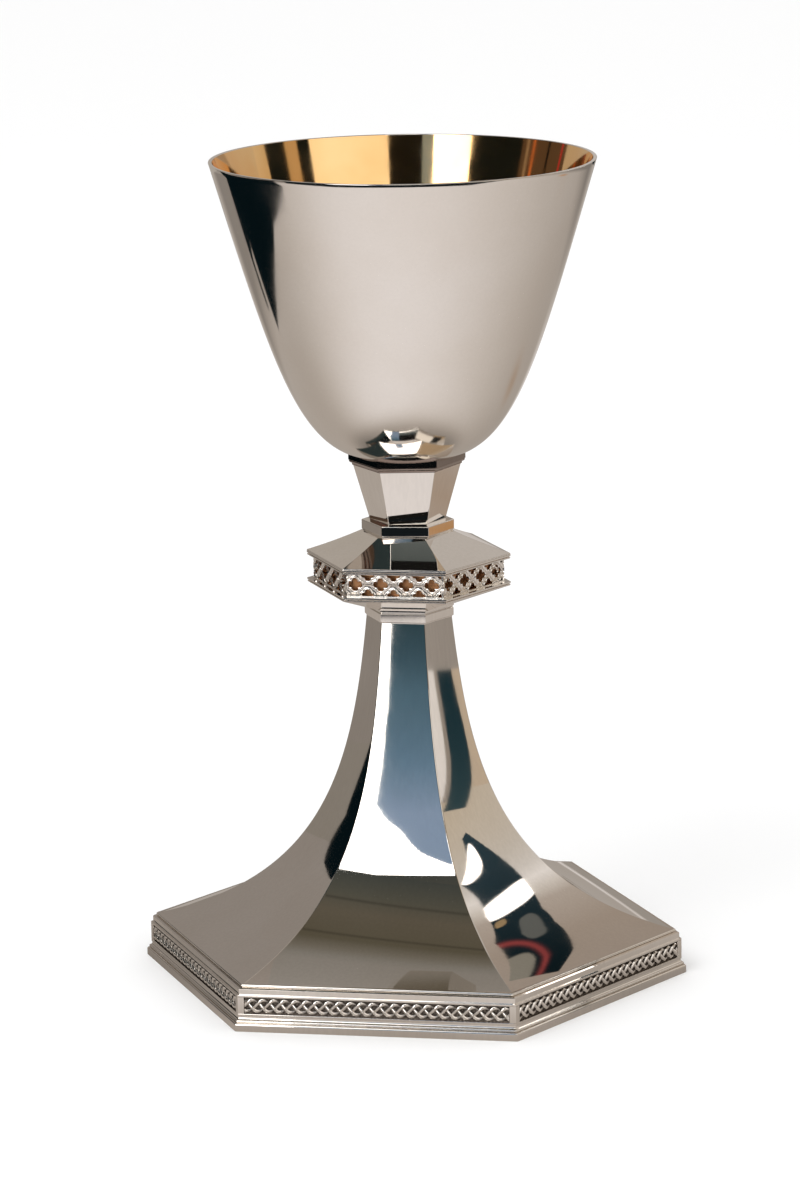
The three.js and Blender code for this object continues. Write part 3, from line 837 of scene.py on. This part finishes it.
def frieze_relief(along, up, height):
    """Height of a plait of three strands over its sunk ground.

    Strand k runs along y = swing * sin(t + k * 120 degrees), t one turn to a period,
    and rises and dips as sin 2t, so each passes over one neighbour and under the
    next. Its own section is half an ellipse across its slanting direction.
    """
    best = np.full(along.shape, -1.0)
    level = up - height / 2
    for strand in range(3):
        t = 2 * np.pi * along / STRAND_PERIOD + strand * 2 * np.pi / 3
        line = STRAND_SWING * np.sin(t)
        slope = STRAND_SWING * np.cos(t) * 2 * np.pi / STRAND_PERIOD
        away = np.abs(level - line) / np.sqrt(1 + slope**2)
        over = np.sin(2 * t)
        half = STRAND_HALF * (1 + 0.12 * over)
        crown = np.sqrt(np.clip(1 - (away / half) ** 2, 0, 1))
        rise = np.where(away < half, CROWN * crown + LIFT * (over + 1), -1.0)
        best = np.maximum(best, rise)
    return np.clip(best, 0, None)


def make_friezes():
    """Six plaited strips let into the band, their ground darkened."""
    height = FRIEZE_HIGH - FRIEZE_LOW
    width = 2 * (FRAME_FLAT * TAN30 - STILE)
    x = np.linspace(-width / 2, width / 2, 740)
    y = np.linspace(0, height, 49)
    along, up = np.meshgrid(x, y)
    relief = frieze_relief(along, up, height)
    edge, bed, back_bed = 0.02, FRIEZE_BACK + 0.22, FRIEZE_BACK + 0.02
    rim = (up < edge) | (up > height - edge) | (abs(along) > width / 2 - edge)
    relief = np.where(rim, 0, relief)
    rows, columns = along.shape
    number = np.arange(rows * columns).reshape(rows, columns)
    faces = woven(rows, columns, closed_rows=False, closed_columns=False)
    loop = np.concatenate([number[0, :-1], number[:-1, -1], number[-1, :0:-1], number[:0:-1, 0]])
    behind = rows * columns + np.arange(len(loop))
    walls = np.stack([loop, behind, np.roll(behind, -1), np.roll(loop, -1)], -1)
    depth = np.clip(1 - relief / PLAIT_HIGH, 0, 1).ravel()
    for face in range(SIDES):
        front = on_face(face, along, FRIEZE_LOW + up, bed + relief).reshape(-1, 3)
        back = on_face(face, along, FRIEZE_LOW + up, back_bed + 0 * up).reshape(-1, 3)[loop]
        made = piece(
            f"frieze_plait_{face + 1}",
            np.concatenate([front, back]),
            np.concatenate([faces, walls]),
            FRIEZE,
            "oxidised_silver",
            f"frieze_panel_{face + 1}",
            more_faces=[behind[::-1]],
        )
        kept = made.data.attributes.new("depth", "FLOAT", "POINT")
        kept.data.foreach_set("value", np.concatenate([depth, np.ones(len(loop))]).astype(np.float32))


make_bowl()
make_seat()
make_stem()
make_knop()
make_gallery()
make_foot()
make_base()
make_stiles()
make_friezes()

for name, finish in {
    "cup_boss": BRASS,
    "core_tube": BRASS,
    "threaded_bush": BRASS,
    "tie_rod": STEEL,
    "foot_cap": SILVER,
    "gallery_lining": LINING,
    "gallery_top_plate": LINING,
    "gallery_bottom_plate": LINING,
}.items():
    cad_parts[name].data.materials.clear()
    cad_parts[name].data.materials.append(finish)


# ---- studio ----
CAMERA_YAW = math.radians(9.3)
TO_CAMERA = Vector((math.sin(CAMERA_YAW), -math.cos(CAMERA_YAW), 0))
TO_RIGHT = Vector((math.cos(CAMERA_YAW), math.sin(CAMERA_YAW), 0))
MIDDLE = Vector((0, 0, 0.1))


def glow_finish(name, one_sided=False):
    """The shine of a card, from the colour kept on each of its points."""
    material = bpy.data.materials.new(name)
    tree = cleared(material)
    colour = add(tree, "ShaderNodeAttribute", attribute_name="glow").outputs["Color"]
    light = add(tree, "ShaderNodeEmission", {"Color": colour})
    shown = light.outputs[0]
    if one_sided:
        back = add(tree, "ShaderNodeNewGeometry").outputs["Backfacing"]
        clear = add(tree, "ShaderNodeBsdfTransparent").outputs[0]
        shown = add(tree, "ShaderNodeMixShader", {0: back, 1: shown, 2: clear}).outputs[0]
    output = add(tree, "ShaderNodeOutputMaterial")
    tree.links.new(shown, output.inputs["Surface"])
    material.cycles.emission_sampling = "NONE"
    return material


GLOW = glow_finish("Card glow")
ONE_SIDED_GLOW = glow_finish("One-sided card glow", one_sided=True)


def glowing_sheet(name, points, colours, finish=GLOW):
    """A grid of points in metres that shines with a colour at each, in reflections only."""
    mesh = bpy.data.meshes.new(name)
    faces = woven(*points.shape[:2], closed_rows=False, closed_columns=False)
    mesh.from_pydata(points.reshape(-1, 3).tolist(), [], faces.tolist())
    mesh.materials.append(finish)
    colours = np.broadcast_to(colours, points.shape)
    four = np.concatenate([colours, np.ones((*points.shape[:2], 1))], -1)
    kept = mesh.attributes.new("glow", "FLOAT_COLOR", "POINT")
    kept.data.foreach_set("color", four.astype(np.float32).ravel())
    made = placed(name, mesh)
    for ray in ("camera", "diffuse", "shadow", "transmission", "volume_scatter"):
        setattr(made, f"visible_{ray}", False)


def in_studio(right, toward, height):
    """Places in metres from distances to the camera's right, toward it, and up."""
    to_world = np.array([TO_RIGHT, TO_CAMERA, (0, 0, 1)])
    return np.stack(np.broadcast_arrays(right, toward, height), -1) @ to_world


def on_sphere(azimuth, elevation, distance):
    """Places round the object's middle, azimuth from the camera's side to its right."""
    turn, up = np.radians(azimuth), np.radians(elevation)
    level = distance * np.cos(up)
    right, toward = level * np.sin(turn), level * np.cos(turn)
    return in_studio(right, toward, distance * np.sin(up) + MIDDLE.z)


def hung(bearing, lateral, height):
    """Places on an upright plane 0.2 m from the axis at a bearing, across it and up."""
    angle, away = math.radians(bearing), 0.2
    right = away * math.sin(angle) + lateral * math.cos(angle)
    toward = away * math.cos(angle) - lateral * math.sin(angle)
    return in_studio(right, toward, height)


def graded(value, stops, shades):
    """Colours between the shades that stand at the stops."""
    return np.stack([np.interp(value, stops, [c[i] for c in shades]) for i in range(3)], -1)


def laid_over(colours, cover, colour):
    """The colours with another over them, as far as the cover goes."""
    cover = cover[..., None]
    return colours * (1 - cover) + cover * np.array(colour)


def card(name, azimuth, elevation, *shades, stops=(0, 1), distance=3.0, left=()):
    """A studio card on a sphere round the object, shaded from its foot to its head.

    Stops are the shares of the height where the shades stand. Left holds points
    (elevation, azimuth) that the left edge follows instead of a straight line.
    """
    share = np.linspace(0, 1, 41)[:, None]
    rise = elevation[0] + (elevation[1] - elevation[0]) * share
    line = np.array(left or [(0, azimuth[0])], float)
    start = np.interp(rise, line[:, 0], line[:, 1])
    across = start + (azimuth[1] - start) * np.linspace(0, 1, 25)
    shades = shades * 2 if len(shades) == 1 else shades
    glowing_sheet(name, on_sphere(across, rise + 0 * across, distance), graded(share, stops, shades))


def table_glow():
    """The table top as the silver sees it, brightest to the front left.

    Its brightness falls from the bright side to the far one as half a cosine of the
    bearing, with a shaded quarter on the left, and drops close to the foot. The sheet
    ends at the table's edge, near in front and further away behind.
    """
    degrees = np.linspace(-180, 180, 181)
    bearing = np.radians(degrees)
    edge_at, edge = [-180, -140, -90, -40, 40, 85, 180], [1.2, 0.8, 0.62, 0.42, 0.42, 0.92, 1.2]
    away = np.linspace(0.03, 1, 60)[:, None] * np.interp(degrees, edge_at, edge)
    shine = 0.40 + 0.43 * (0.5 + 0.5 * np.cos(bearing + math.radians(15)))
    shine = shine - 0.16 * hump(degrees, -95, 38)
    shine = shine * (1 - 0.53 * hump(np.maximum(away, 0.06), 0.06, 0.036))
    far = ramp(away, 0.4, 0.15)
    shine = shine - 0.19 * far * (degrees < -110)
    shine = shine - 0.19 * ramp(away, 0.6, 0.2) * (degrees > 60)
    shine = shine + 0.35 * ramp(np.abs(degrees), 150, 20) * far
    bright, warm = np.array([1.0, 0.95, 0.935]), (1.0, 0.895, 0.80)
    tint = laid_over(bright, ramp(shine, 0.85, -0.45), warm)
    golden = hump(degrees, 112, 4) * hump(away, 0.557, 0.04)
    tint = tint * (1 - golden[..., None] * np.array([0.0, 0.42, 0.75]))
    tan = hump(degrees, 128, 7) * hump(away, 0.29, 0.035)
    tint = tint * (1 - tan[..., None] * np.array([0.10, 0.22, 0.33]))
    points = in_studio(away * np.sin(bearing), away * np.cos(bearing), -0.0006)
    glowing_sheet("table_glow", points, shine[..., None] * tint)


def overhead_flag():
    """A small card hung close over the front of the foot and seen only from below.

    It goes from a warm grey beside the neck to dull olive at its outer edge, with two
    thin darker lines where its frame runs.
    """
    right, toward = np.meshgrid(np.linspace(-0.045, 0.045, 13), np.linspace(-0.03, 0.057, 150))
    stops = [-0.03, 0.010, 0.0135, 0.018, 0.024, 0.038, 0.047, 0.057]
    shades = [
        (0.33, 0.305, 0.275),
        (0.25, 0.23, 0.205),
        (0.22, 0.205, 0.18),
        (0.165, 0.148, 0.12),
        (0.10, 0.087, 0.06),
        (0.115, 0.099, 0.073),
        (0.085, 0.083, 0.066),
        (0.056, 0.061, 0.055),
    ]
    lines = hump(toward, 0.0265, 0.0006) + hump(toward, 0.044, 0.0006)
    colours = graded(toward, stops, shades) * (1 - 0.35 * lines[..., None])
    glowing_sheet("overhead_flag", in_studio(right, toward, 0.088), colours, ONE_SIDED_GLOW)


def left_flags():
    """Two dark cards that stand side by side on the left, seen in the bowl and the foot.

    The first has a slanting lower edge, higher near the camera. The second is a narrow
    strip that is wider toward the camera above 45 mm and away from it above 75 mm.
    """
    dark, plane = (0.002, 0.006, 0.008), -0.3
    share, toward = np.meshgrid(np.linspace(0, 1, 9), np.linspace(-0.21, 0.067, 60))
    foot = np.interp(toward, [-0.233, -0.092, -0.010, 0.067], [0.0, 0.031, 0.044, 0.036])
    glowing_sheet("left_flag", in_studio(plane, toward, foot + (0.13 - foot) * share), dark)

    share, rise = np.meshgrid(np.linspace(0, 1, 5), np.linspace(0.018, 0.155, 40))
    far = -0.260 - 0.026 * ramp(rise, 0.075, 0.06)
    near = -0.236 + 0.026 * ramp(rise, 0.045, 0.005)
    glowing_sheet("left_strip", in_studio(plane, near + (far - near) * share, rise), dark)


def right_wall():
    """A tall panel on the right, warm and pale, with one soft bright upright in it.

    Its colour changes with the bearing only; darker cards nearer by stand before it.
    """
    bearing, rise = np.meshgrid(np.linspace(62, 176, 115), np.linspace(9, 60, 30))
    stops = [62, 85, 100, 110, 116, 121, 126, 132, 150, 176]
    shades = [
        (0.52, 0.38, 0.24),
        (0.46, 0.34, 0.22),
        (0.55, 0.47, 0.37),
        (0.60, 0.55, 0.49),
        (0.68, 0.64, 0.60),
        (0.84, 0.80, 0.77),
        (0.66, 0.61, 0.56),
        (0.46, 0.40, 0.35),
        (0.37, 0.31, 0.26),
        (0.33, 0.28, 0.24),
    ]
    glowing_sheet("right_wall", on_sphere(bearing, rise, 3.2), graded(bearing, stops, shades))


def right_bough():
    """A dark curved shape hung behind on the right, with pale openings in it.

    Along it runs from the camera side inward and across from its lower edge to its
    upper one. The lower edge climbs as a power of the distance left to 0.62 along,
    then falls gently and steeply; the upper one climbs steeply, then gently, and droops
    at its inner end. Each opening is a soft-edged patch (along, across, half its
    length, half its width, colour).
    """
    along, across = np.meshgrid(np.linspace(0, 1, 200), np.linspace(0, 1, 90), indexing="ij")
    lateral = -0.206 + 0.222 * along
    fall = 0.004 * ramp(along, 0.62, 0.11) + 0.014 * ramp(along, 0.73, 0.18)
    low = 0.190 - 0.048 * ramp(along, 0.62, -0.62) ** 1.7 - fall
    climb = 0.053 * ramp(along, 0, 0.19) + 0.015 * ramp(along, 0.19, 0.31)
    high = 0.150 + climb - 0.021 * ramp(along, 0.73, 0.27)
    patches = [
        (0.13, 0.70, 0.085, 0.30, (2.6, 2.45, 2.3)),
        (0.47, 0.50, 0.075, 0.62, (2.4, 2.3, 2.2)),
        (0.70, 0.36, 0.085, 0.19, (0.12, 0.125, 0.118)),
        (0.60, 0.84, 0.025, 0.12, (0.34, 0.24, 0.13)),
        (0.96, 0.90, 0.10, 0.32, (0.24, 0.225, 0.19)),
    ]
    colours = laid_over(np.array([0.026, 0.048, 0.062]), along, (0.004, 0.010, 0.013))
    ring = hump(np.hypot((along - 0.96) / 0.20, (across - 0.95) / 0.55), 1, 0.10)
    colours = laid_over(colours, ring, (0.26, 0.05, 0.05))
    for place, level, length, width, colour in patches:
        slant = along - place - 0.05 * (across - level)
        away = (np.abs(slant / length) ** 3 + np.abs((across - level) / width) ** 3) ** (1 / 3)
        colours = laid_over(colours, ramp(away, 1.06, -0.12), colour)
    glowing_sheet("right_bough", hung(145, lateral, low + (high - low) * across), colours)


def high_cards():
    """Two pale cards hung close behind, high enough to be seen in the knop's roof only."""
    for name, bearing, sides, rises, colour in (
        ("high_card_right", 145, (-0.11, 0.13), (0.228, 0.34), (0.53, 0.49, 0.455)),
        ("high_card_left", -160, (-0.10, 0.10), (0.165, 0.27), (0.44, 0.40, 0.357)),
    ):
        lateral, height = np.meshgrid(np.linspace(*sides, 9), np.linspace(*rises, 9))
        glowing_sheet(name, hung(bearing, lateral, height), colour)


def far_cards():
    """The cards round the studio: in front, above, on the left and on the right."""
    white, black = (4.0, 3.96, 3.88), (0.008, 0.011, 0.013)
    brown = (0.010, 0.010, 0.0095)
    teal = [(0.02, 0.044, 0.053), (0.08, 0.15, 0.205), (0.134, 0.225, 0.32), (0.25, 0.34, 0.48)]
    edge = [(3, -19.7), (14, -20.1), (25, -21), (30, -20.8), (35, -20.2), (45, -20.6), (51, -20)]
    stops = (0, 0.1, 0.31, 0.58, 1)
    card("front_dark", (-75, 75), (-42, -3), black, distance=3.4)
    card("blue_flag", (-19.7, -13.5), (-4, 51), *teal, teal[-1], stops=stops, left=edge)
    card("front_brown", (-13.5, 9), (-4, 29.5), brown)
    card("front_grey", (-13.5, 9), (29.5, 40), (0.10, 0.12, 0.122), (0.15, 0.175, 0.18))
    card("window_left", (-46, -18), (-3, 57), white, distance=3.2)
    card("window_right", (9, 62.5), (3, 34), (1.12, 1.06, 0.98), distance=3.1)
    card("softbox_above", (-46, 12), (34, 57), (3.0, 2.96, 2.9), distance=3.1)
    ceiling = ((0.056, 0.061, 0.055), (0.12, 0.10, 0.075))
    card("ceiling_dark", (-180, 180), (57, 89.9), *ceiling, distance=3.5)
    ceiling = ((0.33, 0.29, 0.26), (0.25, 0.22, 0.19))
    card("ceiling_back", (120, 240), (44, 70), *ceiling, distance=3.3)
    card("left_dark_high", (-132, -46), (27, 57), (0.03, 0.045, 0.048), distance=3.3)
    card("left_dark", (-83.5, -46), (-3, 27), black, distance=3.2)
    card("left_brown", (-125, -83.5), (8, 27), (0.085, 0.058, 0.042), distance=3.2)
    for name, bearing, colour in (
        ("left_accent_gold", -88, (0.30, 0.24, 0.20)),
        ("left_accent_orange", -93, (0.5, 0.16, 0.06)),
        ("left_accent_dark", -106, (0.004, 0.004, 0.004)),
        ("left_accent_red", -119, (0.34, 0.035, 0.04)),
    ):
        card(name, (bearing - 0.9, bearing + 0.9), (7, 25), colour, distance=3.1)
    card("right_bright", (94, 98.5), (-5, 11), (0.8, 0.75, 0.71))
    card("right_beige", (98.5, 99), (-5, 11), (0.3, 0.26, 0.22))
    card("right_dark", (99, 101.1), (-5, 13), (0.01, 0.03, 0.04), (0.03, 0.06, 0.07))
    card("right_gold_edge", (101.1, 104), (-5, 9), (0.55, 0.445, 0.335))
    card("right_gap", (62.5, 71.5), (8, 36), black)
    card("right_gap_far", (81, 97), (14, 30), black)
    card("left_low_wall", (-180, -131), (-10, 9), (0.26, 0.235, 0.205), distance=3.3)
    card("left_wall", (-180, -132), (9, 44), (0.29, 0.26, 0.235), distance=3.3)


def make_floor():
    """The pale floor, which only the camera sees."""
    reach = 12.0
    mesh = bpy.data.meshes.new("floor")
    corners = [(-reach, -reach, 0), (reach, -reach, 0), (reach, reach, 0), (-reach, reach, 0)]
    mesh.from_pydata(corners, [], [(0, 1, 2, 3)])
    material = bpy.data.materials.new("Pale floor")
    material.use_nodes = True
    shader = material.node_tree.nodes["Principled BSDF"]
    shader.inputs["Base Color"].default_value = (0.9, 0.9, 0.9, 1)
    shader.inputs["Roughness"].default_value = 0.9
    shader.inputs["Specular IOR Level"].default_value = 0.1
    mesh.materials.append(material)
    floor = placed("floor", mesh)
    floor.visible_glossy = False


def make_lights():
    """Even light from the sky and one broad soft lamp from the front left."""
    world = bpy.data.worlds.new("Studio")
    bpy.context.scene.world = world
    tree = cleared(world)
    path = add(tree, "ShaderNodeLightPath")
    pale = add(tree, "ShaderNodeBackground", {"Color": (1, 1, 1, 1), "Strength": 1.1})
    room = add(tree, "ShaderNodeBackground", {"Color": (0.42, 0.38, 0.34, 1), "Strength": 0.8})
    glossy = path.outputs["Is Glossy Ray"]
    mixed = add(tree, "ShaderNodeMixShader", {0: glossy, 1: pale.outputs[0], 2: room.outputs[0]})
    output = add(tree, "ShaderNodeOutputWorld")
    tree.links.new(mixed.outputs[0], output.inputs["Surface"])

    light = bpy.data.lights.new("soft_lamp", "AREA")
    light.shape, light.size, light.size_y = "RECTANGLE", 0.9, 0.9
    light.energy = 8.0
    lamp = placed("soft_lamp", light)
    lamp.location = TO_CAMERA * 0.9 - TO_RIGHT * 0.8 + Vector((0, 0, 1.5))
    lamp.rotation_euler = (MIDDLE - lamp.location).to_track_quat("-Z", "Y").to_euler()
    lamp.visible_glossy = False


def make_camera():
    """The camera's place, its yaw, pitch and roll, and its long lens."""
    pitch, roll = math.radians(12.86), math.radians(-0.88)
    ahead = -math.cos(pitch) * TO_CAMERA - Vector((0, 0, math.sin(pitch)))
    level_up = TO_RIGHT.cross(ahead)
    right = math.cos(roll) * TO_RIGHT + math.sin(roll) * level_up
    up = -math.sin(roll) * TO_RIGHT + math.cos(roll) * level_up
    lens = bpy.data.cameras.new("camera")
    lens.lens, lens.sensor_width = 139.83, 36.0
    lens.clip_start, lens.clip_end = 0.05, 50.0
    camera = placed("camera", lens)
    axes = Matrix((right, up, -ahead)).transposed()
    camera.matrix_world = Matrix.Translation((0.1852, -1.1451, 0.3616)) @ axes.to_4x4()
    bpy.context.scene.camera = camera


make_floor()
table_glow()
overhead_flag()
left_flags()
right_wall()
right_bough()
high_cards()
far_cards()
make_lights()
make_camera()
bpy.context.scene.view_settings.view_transform = "Standard"
